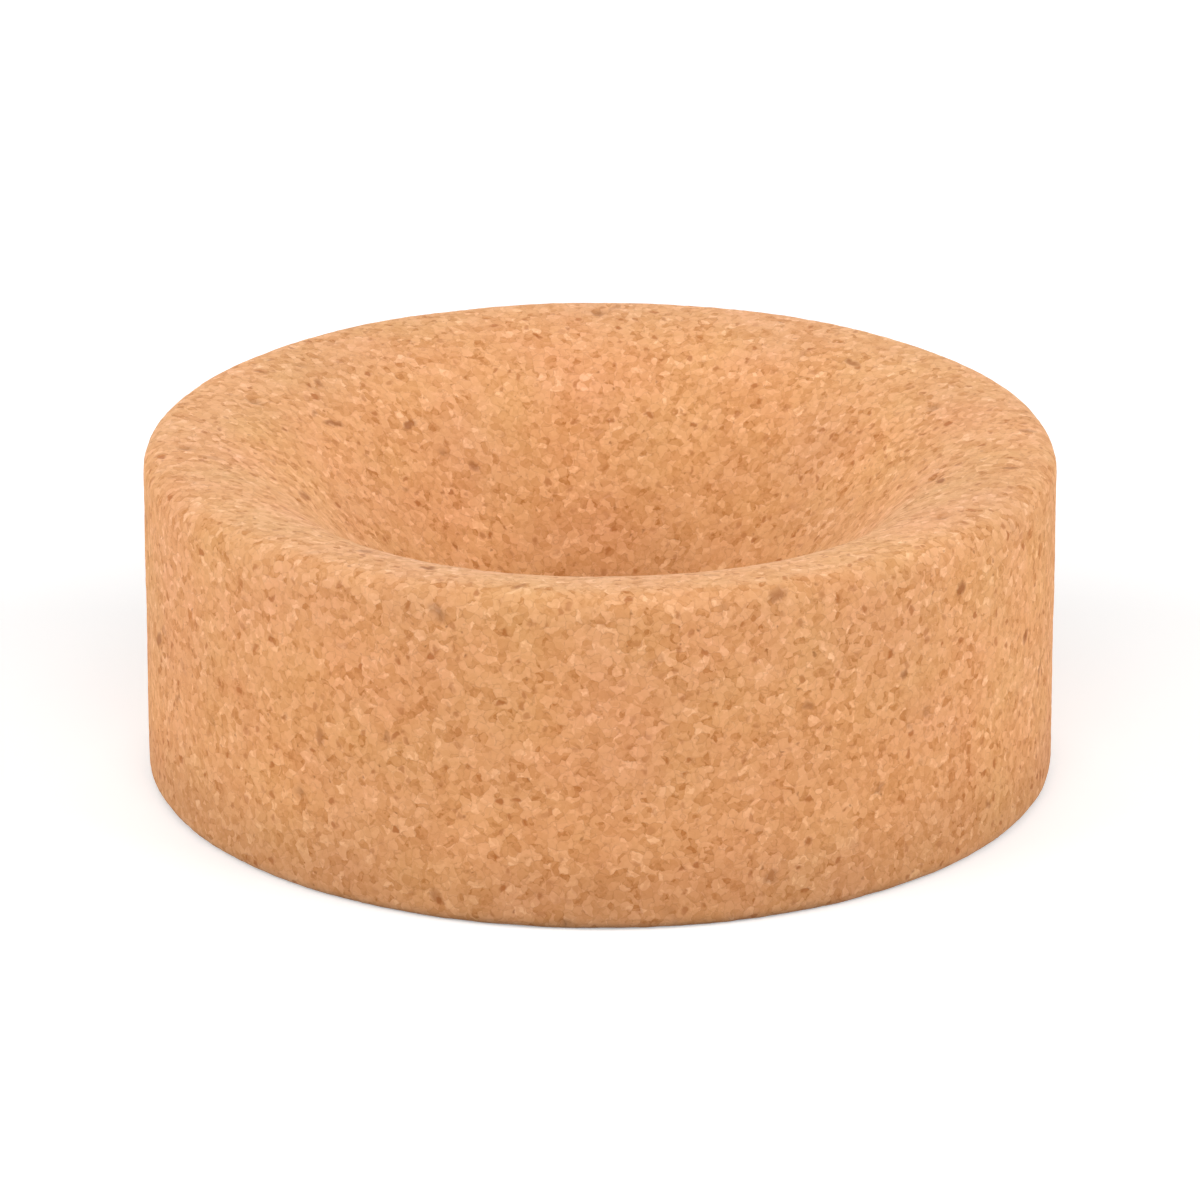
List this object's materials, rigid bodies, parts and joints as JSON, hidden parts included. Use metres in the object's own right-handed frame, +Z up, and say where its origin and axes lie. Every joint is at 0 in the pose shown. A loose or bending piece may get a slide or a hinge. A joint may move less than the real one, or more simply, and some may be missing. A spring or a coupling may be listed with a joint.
{
  "type": "cork ring",
  "caption": "Low round stand of agglomerated cork with a conical seat and a through hole, which holds a round-bottomed flask upright.",
  "frame": {"origin": "centre of the base, on the ring's axis", "axes": "+Z up along the ring's axis, from the base to the flask seat"},
  "size_m": [0.08, 0.08, 0.03],
  "materials": {
    "cork": "matte fine-grained agglomerated cork, tan with darker specks"
  },
  "bodies": {
    "root": {"cork_ring": "cork"}
  },
  "joints": []
}
